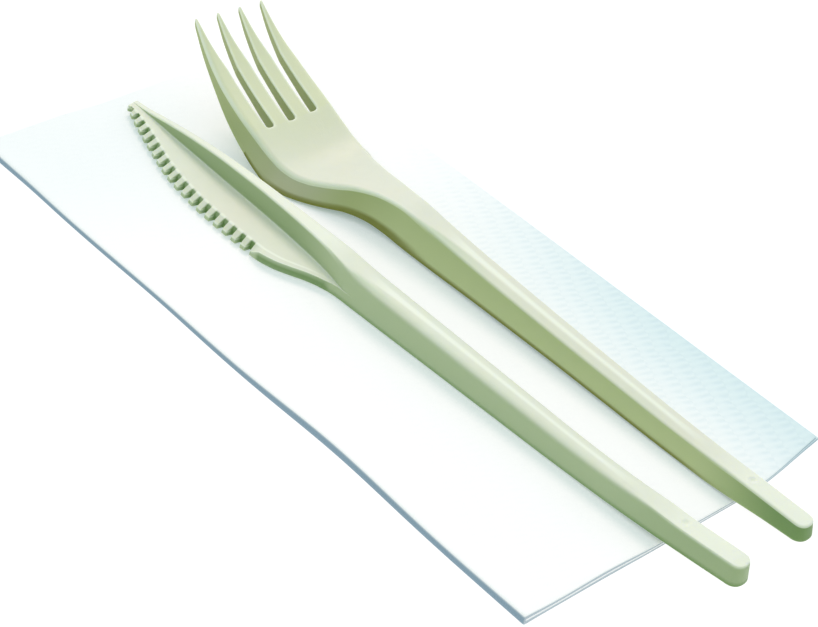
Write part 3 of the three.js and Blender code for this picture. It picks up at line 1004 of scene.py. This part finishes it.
@dataclass
class Fork:
    """The fork: a hollow handle, an arched neck, and a dished head with four tines.

    Attributes:
        handle: the handle.
        length: from the handle's end to the tips.
        place: where the handle's end lies.
        turn: how far the fork is turned, in degrees.
        foot: height of the walls' foot above the table.
        top: height of the top.
        half: half the width of the neck and head.
        flare: how far the walls lean out at the foot.
        dish: depth of the head's hollow.
        skin: thickness under the top.
        pitch: from one slot to the next.
        slot_root: where the slots begin.
        slot_half: half the width of a slot.
        shoulder: where the tines begin to taper.
        tip_half: half the width of a tip.
        tip_round: length of the rounded tip, and tip_drop is how far it turns down.
        slot_round: radius along the slots.
        squareness: power of the superellipse at a slot's end.
    """

    handle: Handle = field(default_factory=Handle)
    length: float = 156.6
    place: tuple[float, float] = (13.2, -91.5)
    turn: float = 0.2
    foot: Course = Course(((0, 3.4), (8, 2.8), (15, 2.1), (22, 1.66), (30, 1.66), (45, 1.9),
                           (60, 2.1), (75, 2.1), (92, 1.9), (98, 2.0), (103, 2.5),
                           (107, 2.8), (111, 2.7), (115, 2.25), (119, 1.85), (123, 1.66),
                           (127, 1.66), (131, 2.6), (135, 4.2), (141, 7.0), (147, 11.0),
                           (152, 15.1), (156.6, 20.3)))
    top: Course = Course(((0, 6.5), (15, 6.5), (27, 6.65), (45, 7.2), (57, 7.65), (69, 8.2),
                          (81, 8.85), (93, 9.65), (99, 10.05), (102, 9.95), (105, 9.7),
                          (108, 9.2), (111, 8.5), (114, 7.6), (117, 6.65), (120, 5.95),
                          (123, 5.65), (126, 5.9), (129, 6.7), (135, 9.0), (141, 11.4),
                          (147, 14.4), (152, 17.6), (156.6, 21.5)))
    half: Course = Course(((92, 2.75), (99, 2.8), (102, 3.0), (105, 3.4), (108, 4.05),
                           (111, 4.9), (114, 6.1), (117, 7.3), (120, 8.4), (123, 9.25),
                           (126, 9.75), (131, 10.15), (138, 10.35), (144, 10.2),
                           (150, 9.6), (156.6, 8.72)))
    flare: Course = Course(((92, 0.8), (108, 1.1), (117, 2.3), (125, 2.8), (132, 2.2),
                            (141, 1.1), (147, 0.45), (156.6, 0.05)))
    dish: Course = Course(((99, 0), (112, 0.25), (126, 0.9), (140, 0.6), (156.6, 0.1)))
    skin: Course = Course(((0, 1.4), (92, 1.4), (120, 2.1), (130, 3.1), (137, 3.0),
                           (143, 2.5), (149, 2.3), (153, 2.0), (156.6, 1.2)))
    pitch: float = 5.6
    slot_root: float = 134.6
    slot_half: float = 1.05
    shoulder: float = 147.5
    tip_half: float = 0.32
    tip_round: float = 0.5
    tip_drop: float = 0.35
    slot_round: float = 0.28
    squareness: float = 3.0

    def width(self, s: np.ndarray) -> np.ndarray:
        """Half the width of the top at each distance."""
        return np.where(s < self.handle.neck, self.handle.top(s), self.half(s))

    def slot(self, s: np.ndarray) -> np.ndarray:
        """Half the width of a slot: a squarish end, a straight stretch, then a wedge.

        The end is a superellipse as deep as it is wide, and the wedge opens from the
        shoulder until only the tips are left.

        Args:
            s: distances along the fork.

        Returns:
            The half width, 0 before the slot.
        """
        n, deep = self.squareness, self.slot_half
        ahead = np.clip((self.slot_root + deep - s) / deep, 0, 1)
        end = deep * (1 - ahead ** n) ** (1 / n)
        mouth = self.pitch / 2 - self.tip_half
        straight = deep * (1 + 0.1 * np.clip((s - self.slot_root - deep) / 12, 0, 1))
        share = np.clip((s - self.shoulder) / (self.length - self.shoulder), 0, 1)
        wedge = straight + (mouth - straight) * share ** 0.93
        return np.where(s < self.slot_root + deep, end, wedge)

    def tip(self, s: np.ndarray) -> np.ndarray:
        """How far into the rounded tip a distance lies, from 0 to 1."""
        return np.clip((s - self.length) / self.tip_round + 1, 0, 1)

    def slot_distance(self, x: np.ndarray, s: np.ndarray) -> np.ndarray:
        """How far a point of the top is from the nearest slot.

        Beside a slot it is the sideways distance. Round its end it is how far the point
        lies outside the superellipse, measured in its own radii.

        Args:
            x: distance from the middle.
            s: distance along the fork.

        Returns:
            The distance, never negative.
        """
        nearest = np.full(np.broadcast(x, s).shape, 99.0)
        n, deep = self.squareness, self.slot_half
        for k in (-1, 0, 1):
            aside = np.abs(x - k * self.pitch)
            ahead = np.maximum(self.slot_root + deep - s, 0)
            radii = ((aside / deep) ** n + (ahead / deep) ** n) ** (1 / n)
            beside = aside - self.slot(s)
            nearest = np.minimum(nearest, np.where(ahead > 0, (radii - 1) * deep, beside))
        return np.maximum(nearest, 0)

    def crown(self, x: np.ndarray, s: np.ndarray) -> np.ndarray:
        """Height of the top before its edges are rounded.

        The handle's top falls away beside its crest, as half of a line and its own size
        rounded by a hyperbola. The head is dished by a parabola across it.

        Args:
            x: distance from the middle.
            s: distance along the fork.

        Returns:
            The height.
        """
        half = self.width(s)
        past = self.handle.crest(s) - (half - np.abs(x))
        past = (past + np.sqrt(past * past + 0.05)) / 2
        hollow = np.where(s < 99, 0, self.dish(s)) * (1 - (x / half) ** 2)
        return self.top(s) - self.handle.slope * past - hollow + self.handle.gate_mark(x, s)

    def rows(self) -> tuple[np.ndarray, np.ndarray]:
        """Distances for the sections before the slots begin, and for those after."""
        root = self.slot_root
        before = np.concatenate([
            self.handle.rows(), spaced(86, 96, step=1.6), spaced(97, 131, step=0.7),
            spaced(131.6, 133.8, step=0.5), root - np.array([0.55, 0.38, 0.28, 0.19, 0.11,
                                                             0.05, 0.015, 0]),
        ])
        angle = np.linspace(0, np.pi / 2, 12)
        end = root + self.slot_half * (1 - np.cos(angle) ** (2 / self.squareness))
        tip = self.length - np.array([0.45, 0.32, 0.2, 0.1, 0.03, 0])
        after = np.concatenate([end, spaced(136.2, 146.6, step=0.8),
                                spaced(147, 148.2, step=0.3), spaced(148.9, 155.9, step=0.7),
                                tip])
        return before, after

    def sides(self, s: np.ndarray, k: int) -> tuple[np.ndarray, np.ndarray]:
        """Left and right limits of one quarter of the head, which becomes a tine.

        Before the slots the four quarters share the width. After them each ends at its
        slots, and the tips are rounded off by half ellipses.

        Args:
            s: distances along the fork.
            k: which quarter, from 0 on the left.

        Returns:
            Left and right limits.
        """
        half = self.width(s)
        share = np.where(s < self.slot_root, half / self.half(self.slot_root), 1)
        slot = np.where(s < self.slot_root, 0, self.slot(s))
        left = -half if k == 0 else (k - 2) * self.pitch * share + slot
        right = half if k == 3 else (k - 1) * self.pitch * share - slot
        ahead = np.clip(self.tip(s), 0, 0.985)
        middle = (left + right) / 2
        keep = np.sqrt(1 - ahead ** 2)
        return middle + (left - middle) * keep, middle + (right - middle) * keep

    def quarter_top(self, s: np.ndarray, k: int) -> tuple[np.ndarray, np.ndarray]:
        """The top of one quarter, from left to right.

        Columns crowd towards both sides as one less the cosine of an even angle, so the
        rounded edges are drawn by their own columns.

        Args:
            s: distances along the fork.
            k: which quarter.

        Returns:
            Points, as rows by columns by three, and how much painted highlight each gets.
        """
        left, right = self.sides(s, k)
        wide = right - left
        outer = np.minimum(self.handle.edge_round, wide * 0.45)
        inner = np.minimum(self.slot_round, wide * 0.45)
        reach_left, reach_right = (outer if k == 0 else inner), (outer if k == 3 else inner)
        rise = 1 - np.cos(np.linspace(0, np.pi / 2, 7))
        start = left[:, None] + reach_left[:, None] * rise
        finish = right[:, None] - reach_right[:, None] * rise[::-1]
        share = np.linspace(0, 1, 9)[1:-1]
        between = start[:, -1:] * (1 - share) + finish[:, :1] * share
        x = np.concatenate([start, between, finish], axis=1)
        along = s[:, None] + 0 * x
        half = self.width(s)
        lean = np.gradient(half, s + 1e-6 * np.arange(len(s)))
        edge = (half[:, None] - np.abs(x)) / np.hypot(1, np.clip(lean, -1, 1))[:, None]
        slots = self.slot_distance(x, along)
        z = self.crown(x, along)
        z = z - rounding(np.maximum(edge, 0), outer[:, None]) - rounding(slots, inner[:, None])
        z = z - self.tip_drop * (1 - np.sqrt(1 - self.tip(s)[:, None] ** 2))
        # painted highlight along the rounded edges and slot edges, the crest and the handle's end
        highlit = np.maximum(bump(edge, 0.15, 0.3), 0.9 * bump(slots, 0.1, 0.25))
        highlit = highlit * smooth((s - 88) / 14)[:, None]
        highlit = np.maximum(highlit, self.handle.ridge_highlight(x, along))
        highlit = np.maximum(highlit, 0.75 * smooth((27 - along) / 16))
        return np.stack([x, along, z], axis=-1), highlit

    def quarter_under(self, s: np.ndarray, k: int, top: np.ndarray) -> tuple[np.ndarray, ...]:
        """The walls and underside of one quarter, from its right edge round to its left.

        Args:
            s: distances along the fork.
            k: which quarter.
            top: the points of its top.

        Returns:
            Points, how much painted highlight each column gets, whether it lies inside and gets
            painted shade, and how many columns the first and the last wall hold.
        """
        left, right = self.sides(s, k)
        skin, foot, tip = self.skin(s), self.foot(s), self.tip(s)
        flare = np.where(s < self.handle.neck, self.handle.foot(s) - self.handle.top(s),
                         self.flare(s))
        foot = foot + self.tip_drop * (1 - np.sqrt(1 - tip ** 2))
        wall = np.minimum(self.handle.wall, (right - left) * 0.35)
        opened = np.clip((s - self.slot_root) / 0.6, 0, 1)
        foot_x = self.width(s) + flare

        def under(x: np.ndarray) -> np.ndarray:
            """A point of the ceiling, which is the top less the skin, never under the foot."""
            return np.stack([x, s, np.maximum(self.crown(x, s) - skin, foot)], axis=-1)

        def standing(x: np.ndarray) -> np.ndarray:
            """A point of the foot."""
            return np.stack([x, s, foot], axis=-1)

        # each list runs from the right edge of the top, under the quarter, to its left edge, the
        # third tuple gives each corner's painted highlight, and hollow gives the first and the
        # last corner that only the underside shows, whose columns get painted dark olive shade
        if k == 3:
            foot_x = np.where(tip > 0, right, foot_x)
            line = [standing(foot_x), standing(foot_x - wall), under(right - wall), under(left)]
            cuts = [0.3, 0.25, 0.5, 0.2 * opened]
            fills, rims, hollow = (8, 1, 2, 4, 2), (0.1, 0.1, 0.2, 0, 0.2), (2, 4)
        elif k == 0:
            foot_x = np.where(tip > 0, -left, foot_x)
            line = [under(right), under(left + wall), standing(wall - foot_x), standing(-foot_x)]
            cuts = [0.2 * opened, 0.5, 0.25, 0.3]
            fills, rims, hollow = (2, 4, 2, 1, 8), (0.1, 0.2, 0, 0.1, 0.1), (1, 3)
        else:
            line = [under(right), under(left)]
            cuts = [0.2 * opened, 0.2 * opened]
            fills, rims, hollow = (2, 4, 2), (0.9, 0.2, 0.2), (1, 2)
        corners = np.stack([top[:, -1], *line, top[:, 0]], axis=1)
        reach = [np.broadcast_to(cut, s.shape) for cut in (0, *cuts, 0)]
        made = Outline(corners, np.stack(reach, axis=1), fills, (*rims, 0.9), closed=False)
        points, edge_highlight = made.points()
        starts = np.cumsum([1] + [fill + made.steps for fill in fills[:-1]])
        # the columns between these corners get painted dark olive shade
        first, last = hollow
        inside = np.zeros(points.shape[1])
        inside[starts[first - 1] + fills[first - 1]: starts[last - 1] + fills[last - 1]
               + made.steps] = 1
        return points, edge_highlight, inside, (fills[0], fills[-1])

    def twisted(self, points: np.ndarray) -> np.ndarray:
        """Warps the head as the mould released it: the left tine stands proudest.

        Args:
            points: the sections' points.

        Returns:
            The points, moved in proportion to their distance from the right side.
        """
        x, s = points[..., 0], points[..., 1]
        lead = (8.4 - x) * np.clip((s - 125) / (self.length - 125), 0, 1) ** 1.3
        return points + lead[..., None] * np.array([0.030, 0.034, 0.034])

    def marks(self, points: np.ndarray, walls: np.ndarray) -> tuple[np.ndarray, ...]:
        """Marks painted shade at the foot of the walls and at the handle's end, and painted light
        through the thinning head.

        Args:
            points: the sections' points.
            walls: 1 for each column of the walls and the underside.

        Returns:
            How much dark olive painted shade, how much deep green painted shade and how much
            painted light through thin plastic each point gets.
        """
        s = points[..., 1]
        height = points[..., 2] - self.foot(s)
        # painted dark olive shade along the walls' foot, widest under the arched neck, and on the
        # walls by the neck and the bowl
        reach = 1.05 + 1.35 * bump(s, 102.0, 10.0)
        foot = smooth((reach - height) / (0.5 * reach)) * smooth((s - 12) / 18)
        olive = (0.22 * smooth((s - 98) / 14) + 0.2 * bump(s, 123.0, 8.0)) * walls
        return np.maximum(foot, olive), smooth((25 - s) / 22), smooth((s - 118) / 26)

    def add_tine(self, shell: Shell, s: np.ndarray, k: int) -> None:
        """Adds one tine as a ring of its own, with a pointed cap at its tip.

        Args:
            shell: the fork's shell.
            s: distances from the slots' beginning to the tip.
            k: which tine, from 0 on the left.
        """
        top, highlit = self.quarter_top(s, k)
        points, edge_highlight, within, _ = self.quarter_under(s, k, top)
        under, edge_highlight, within = points[:, 1:-1], edge_highlight[1:-1], within[1:-1]
        loop = self.twisted(np.concatenate([top, under], axis=1))
        rim = np.concatenate([highlit, np.broadcast_to(edge_highlight, under.shape[:2])], axis=1)
        # painted dark olive shade on the tine's walls, more on the slot walls than the outer ones,
        # most on the underside; the whole tine gets the painted light through thin plastic
        outer = np.abs(under[..., 0]) > self.width(s)[:, None] - 0.3
        below = np.maximum(np.where(outer, 0.24, 0.34), 0.6 * within)
        inside = np.concatenate([0 * highlit, below], axis=1)
        shell.grid(loop, ring=True, rim=rim, inside=inside, thin=1.0)
        end = loop[-1]
        heart = end.mean(axis=0) + np.array([0, 0.02, 0])
        shell.grid(np.stack([end, heart + 0 * end]), ring=True, rim=rim[-1],
                   inside=inside[-1], thin=1.0)

    def make(self) -> bpy.types.Object:
        """Builds the fork.

        Before the slots each section is one ring. After them each tine is a ring of its
        own, and the rings share their points where the slots begin.

        Returns:
            The finished piece, in its place.
        """
        shell = Shell(MARKS)
        before, after = self.rows()
        tops = [self.quarter_top(before, k) for k in range(4)]
        ring = [points[:, min(k, 1):] for k, (points, _) in enumerate(tops)]
        rim = [highlit[:, min(k, 1):] for k, (_, highlit) in enumerate(tops)]
        inside = [np.zeros(part.shape[1]) for part in ring]
        on_top = sum(part.shape[1] for part in ring)
        for k in (3, 2, 1, 0):
            points, edge_highlight, within, (first, last) = self.quarter_under(before, k, tops[k][0])
            start = 1 if k == 3 else 1 + first
            stop = points.shape[1] - (1 if k == 0 else 1 + last)
            ring.append(points[:, start:stop])
            # the underside gets no painted highlight
            plain = np.where(within[start:stop] > 0, 0, edge_highlight[start:stop])
            rim.append(np.broadcast_to(plain, ring[-1].shape[:2]))
            inside.append(within[start:stop])
        points = self.twisted(np.concatenate(ring, axis=1))
        rims, within = np.concatenate(rim, axis=1), np.concatenate(inside)
        walls = (np.arange(points.shape[1]) >= on_top) * 1.0
        # painted shade at the walls' foot, the handle's end and the left slope, and painted light
        # through the head
        dark, deep, thin = self.marks(points, walls)
        slope = self.handle.left_slope_shade(points[..., 0], points[..., 1]) * (1 - walls)
        shell.grid(points, ring=True, rim=rims, inside=np.maximum(within, dark), deep=deep,
                   thin=thin, slope=slope)
        middle = np.abs(points[0, :, 0]) < 1e-6
        high = int(np.flatnonzero(middle & (within == 0))[0])
        low = int(np.flatnonzero(middle & (within > 0))[0])
        order = around(low, high, points.shape[1])
        shell.grid(self.handle.spin(points[0, order])[::-1], rim=rims[0, order],
                   inside=within[order], deep=deep[0, order])
        for k in range(4):
            self.add_tine(shell, after, k)
        turn = Matrix.Rotation(math.radians(self.turn), 4, "Z")
        place = Matrix.Translation((*self.place, 0)) @ turn
        return shell.make("table_fork", place, CREASE)


# ---------------------------------------------------------------- napkin


@dataclass
class Napkin:
    """A square of tissue folded in half three times.

    Attributes:
        side: side of the open square.
        layer: thickness of the tissue.
        gap: air between two layers.
    """

    side: float = 300.0
    layer: float = 0.1
    gap: float = 0.08

    def fold(self, travel: np.ndarray, height: np.ndarray, stack: float) -> tuple[np.ndarray, ...]:
        """Folds everything past a crease back over the top.

        Up to half a turn the sheet follows a circle whose radius is half the stack, and
        after that it runs back the way it came, upside down.

        Args:
            travel: distance past the crease.
            height: height in the stack before the fold.
            stack: thickness of the stack that is folded.

        Returns:
            Distance past the crease and height, after the fold.
        """
        centre = stack + self.gap / 2
        bend = np.pi * (centre - stack / 2)
        turn = np.clip(travel / (centre - stack / 2), 0, np.pi)
        reach = centre - height
        after = np.where(travel >= bend, bend - travel, np.sin(turn) * reach)
        lifted = np.where(travel >= bend, 2 * centre - height, centre - np.cos(turn) * reach)
        return np.where(travel <= 0, travel, after), np.where(travel <= 0, height, lifted)

    def stacks(self) -> list[float]:
        """Thickness of one, two and four layers."""
        return [n * self.layer + (n - 1) * self.gap for n in (1, 2, 4)]

    def folded(self, u: np.ndarray, v: np.ndarray, height: float) -> np.ndarray:
        """Where points of the open square lie once it is folded.

        Args:
            u: distance across the open square, from its middle.
            v: distance along it.
            height: 0 for its underside, or one layer for its upper side.

        Returns:
            Points, in millimetres.
        """
        stack = self.stacks()
        quarter = self.side / 4
        x, z = self.fold(u, height + 0 * u, stack[0])
        y, z = self.fold(v, z, stack[1])
        x, z = self.fold(-quarter - x, z, stack[2])
        return self.settle(np.stack([-x - quarter / 2, -y - quarter, z], axis=-1))

    def settle(self, points: np.ndarray) -> np.ndarray:
        """Lets the folded stack relax.

        The long fold bows up off the table, the near edge swells beside the knife and is
        slid out a little, and the layers stand apart towards every edge. Each of these dies
        away from its edge as an exponential.

        Args:
            points: points of the flat stack.

        Returns:
            The points, moved.
        """
        x, y, z = points[..., 0], points[..., 1], points[..., 2]
        half_long, half_wide = self.side / 4, self.side / 8
        total = 8 * self.layer + 7 * self.gap
        near_left = np.exp(-(x + half_wide) / 7.0)
        bow = 0.75 * bump(y, -30.0, 17.0) + 0.3 * bump(y, 20.0, 14.0) + 0.2 * bump(y, 60.0, 9.0)
        swell = 0.15 * bump(y, -half_long, 5.0) * bump(x, -19.0, 6.5)
        level = z / total
        open_left = 0.55 * near_left * (0.4 + 0.6 * smooth((30.0 - y) / 60.0))
        near_end = np.exp(-(y + half_long) / 5.0) * (0.05 + 0.35 * bump(x, -19.0, 9.0))
        far_end = 0.5 * np.exp((y - half_long) / 9.0) + 0.35 * np.exp((x - half_wide) / 9.0)
        ripple = 0.10 * np.sin(x * 0.23 + 1.3) * np.sin(y * 0.11 + 0.4) * smooth((-17.0 - x) / 12)
        lifted = z * (1 + open_left + near_end + far_end * smooth((np.abs(x - 5) - 14) / 12))
        lifted = lifted + bow * near_left * (0.75 + 0.25 * level) + swell * (0.6 + 0.4 * level)
        lifted = lifted + np.maximum(ripple, 0) * level
        inward = 0.35 * bow * near_left
        across = np.clip((x + half_wide) / half_long, 0, 1)
        slid = (1.9 * np.sin(np.pi * across) + 0.9 * bump(across, 0.75, 0.16)) * across ** 0.4
        out = slid * np.exp(-(y + half_long) / 14.0) * (0.9 + 0.1 * level)
        return np.stack([x + inward, y - out, np.maximum(lifted, 0.02 * level)], axis=-1)

    def lines(self, creases: list[tuple[float, float]], step: float) -> np.ndarray:
        """Distances along the open square, close together where it bends."""
        half = self.side / 2
        bends = [np.linspace(at, at + bend, 9) for at, bend in creases]
        coarse = np.linspace(-half, half, round(self.side / step) + 1)
        keep = np.ones(len(coarse), bool)
        for at, bend in creases:
            keep &= (coarse < at - 0.3) | (coarse > at + bend + 0.3)
        return np.sort(np.concatenate([coarse[keep], *bends]))

    def make(self) -> bpy.types.Object:
        """Builds the napkin.

        Returns:
            The finished piece.
        """
        bend = [np.pi * (stack + self.gap) / 2 for stack in self.stacks()]
        quarter = self.side / 4
        u = self.lines([(-quarter - bend[2], bend[2]), (0, bend[0]),
                        (quarter + bend[0], bend[2])], 2.6)
        v = self.lines([(0, bend[1])], 2.4)
        across, down = np.meshgrid(u, v, indexing="ij")
        uv = np.stack([across / self.side + 0.5, down / self.side + 0.5], axis=-1)
        under, upper = (self.folded(across, down, h) for h in (0.0, self.layer))
        shell = Shell()
        shell.grid(upper, uv=uv)
        shell.grid(under[::-1], uv=uv[::-1])
        for i in (0, -1):
            shell.grid(np.stack([under[i], upper[i]]), uv=np.stack([uv[i], uv[i]]))
            shell.grid(np.stack([under[:, i], upper[:, i]]), uv=np.stack([uv[:, i], uv[:, i]]))
        return shell.make("folded_napkin", Matrix.Identity(4), 60)


# ---------------------------------------------------------------- the studio


@dataclass(frozen=True)
class Lamp:
    """A square studio lamp that looks at the pack, with its sizes in metres."""

    name: str
    at: tuple[float, float, float]
    watts: float
    width: float
    colour: tuple[float, float, float]

    def hang(self) -> None:
        """Adds the lamp, turned towards the pack."""
        data = bpy.data.lights.new(self.name, "AREA")
        data.energy = self.watts
        data.size = self.width
        data.color = self.colour
        lamp = bpy.data.objects.new(self.name, data)
        back = np.array(self.at) / np.linalg.norm(self.at)
        side = np.cross([0, 1, 0.01], back)
        side /= np.linalg.norm(side)
        turn = np.stack([side, np.cross(back, side), back], axis=1)
        lamp.matrix_world = Matrix.Translation(self.at) @ Matrix(turn.tolist()).to_4x4()
        bpy.context.scene.collection.objects.link(lamp)


@dataclass
class Studio:
    """The floor, the lamp, the sky and the camera, in metres and degrees.

    Attributes:
        azimuth: bearing of the camera.
        elevation: how high it looks down from.
        roll: how far it is tilted.
        target: what it looks at.
        distance: how far away it is.
        focal: its focal length, in millimetres.
        sky: strength of the sky.
        above: the sky overhead and behind.
        low: the sky low in front, which greens the walls that face it.
        floor: the floor's colour.
        glow: strength of the floor's own light.
    """

    azimuth: float = -49.0
    elevation: float = 39.2
    roll: float = 10.1
    target: tuple[float, float, float] = (-0.0008, -0.0078, 0.0)
    distance: float = 0.392
    focal: float = 93.2
    sky: float = 0.90
    above: tuple[float, ...] = (0.88, 0.975, 0.99, 1.0)
    low: tuple[float, ...] = (0.26, 0.42, 0.18, 1.0)
    floor: tuple[float, ...] = (0.15, 0.15, 0.15, 1.0)
    glow: float = 0.95

    def build(self) -> None:
        """Sets up everything that isn't the object."""
        self.lay_floor()
        self.paint_sky()
        Lamp("key", at=(0.55, 0.75, 1.05), watts=5.5, width=0.42,
             colour=(1.0, 0.80, 0.72)).hang()
        self.aim_camera()
        scene = bpy.context.scene
        scene.view_settings.view_transform = "Standard"
        scene.view_settings.look = "None"

    def lay_floor(self) -> None:
        """Lays a white floor just under the napkin, which glows so that shadows on it stay faint.
        """
        mesh = bpy.data.meshes.new("floor")
        reach, low = 3.0, -0.00003
        mesh.from_pydata([(-reach, -reach, low), (reach, -reach, low), (reach, reach, low),
                          (-reach, reach, low)], [], [(0, 1, 2, 3)])
        floor = bpy.data.objects.new("floor", mesh)
        bpy.context.scene.collection.objects.link(floor)
        made = bpy.data.materials.new("floor")
        made.use_nodes = True
        recipe = Recipe(made.node_tree)
        recipe.finish(recipe.node("ShaderNodeBsdfPrincipled", Base_Color=self.floor,
                                  Roughness=0.9, Specular_IOR_Level=0.1,
                                  Emission_Color=(1.0, 1.0, 1.0, 1.0),
                                  Emission_Strength=self.glow))
        mesh.materials.append(made)

    def paint_sky(self) -> None:
        """Lights the room: white from above and behind, dim and green from low in front.

        The share of green is how far a direction points to the lower front left.
        """
        world = bpy.data.worlds.new("room")
        world.use_nodes = True
        recipe = Recipe(world.node_tree)
        way = recipe.read(recipe.node("ShaderNodeTexCoord"), "Generated")
        parts = recipe.node("ShaderNodeSeparateXYZ", Vector=way)
        x, y, z = (recipe.read(parts, axis) for axis in "XYZ")
        low_front = (0.72 - z * 1.15) + (x * -0.45 + y * -0.35) * 0.9
        tint = recipe.blend(recipe.between(low_front, 0.15, 1.15), self.above, self.low)
        sky = recipe.node("ShaderNodeBackground", Color=tint, Strength=self.sky)
        out = recipe.node("ShaderNodeOutputWorld")
        recipe.tree.links.new(sky.outputs[0], out.inputs["Surface"])
        bpy.context.scene.world = world

    def aim_camera(self) -> None:
        """Places the camera by its bearing, its height, its roll and its distance."""
        a, e, r = (math.radians(v) for v in (self.azimuth, self.elevation, self.roll))
        back = np.array([math.sin(a) * math.cos(e), -math.cos(a) * math.cos(e), math.sin(e)])
        side = np.cross([0, 0, 1], back)
        side /= np.linalg.norm(side)
        up = np.cross(back, side)
        right = math.cos(r) * side + math.sin(r) * up
        up = -math.sin(r) * side + math.cos(r) * up
        data = bpy.data.cameras.new("camera")
        data.lens = self.focal
        data.sensor_width = 36.0
        data.clip_start = 0.01
        camera = bpy.data.objects.new("camera", data)
        place = Matrix(np.stack([right, up, back], axis=1).tolist()).to_4x4()
        camera.matrix_world = Matrix.Translation(np.array(self.target)
                                                 + back * self.distance) @ place
        bpy.context.scene.collection.objects.link(camera)
        bpy.context.scene.camera = camera


def dress(piece: bpy.types.Object, finish: bpy.types.Material, node: str) -> None:
    """Gives a piece its finish and says which CAD node it stands for.

    Args:
        piece: the finished piece.
        finish: its material.
        node: the CAD node that it replaces.
    """
    piece.data.materials.append(finish)
    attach(piece, "root")
    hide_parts(node)
    LOG.info("%s stands for %s", piece.name, node)


def main() -> None:
    """Builds the studio and the three pieces, in order."""
    Studio().build()
    napkin = Napkin()
    sheet = napkin.make()
    dress(sheet, Tissue().material("embossed_tissue"), "napkin")
    # the knife's walls get a darker painted shade than the fork's
    knife_plastic = Bioplastic(cream=(0.75, 0.78, 0.66, 1.0), wall=(0.43, 0.52, 0.31, 1.0))
    dress(Knife().make(), knife_plastic.material("knife_bioplastic"), "knife")
    dress(Fork().make(), Bioplastic().material("fork_bioplastic"), "fork")


if __name__ == "__main__":
    logging.basicConfig(level=logging.INFO, format="%(name)s: %(message)s")
    main()
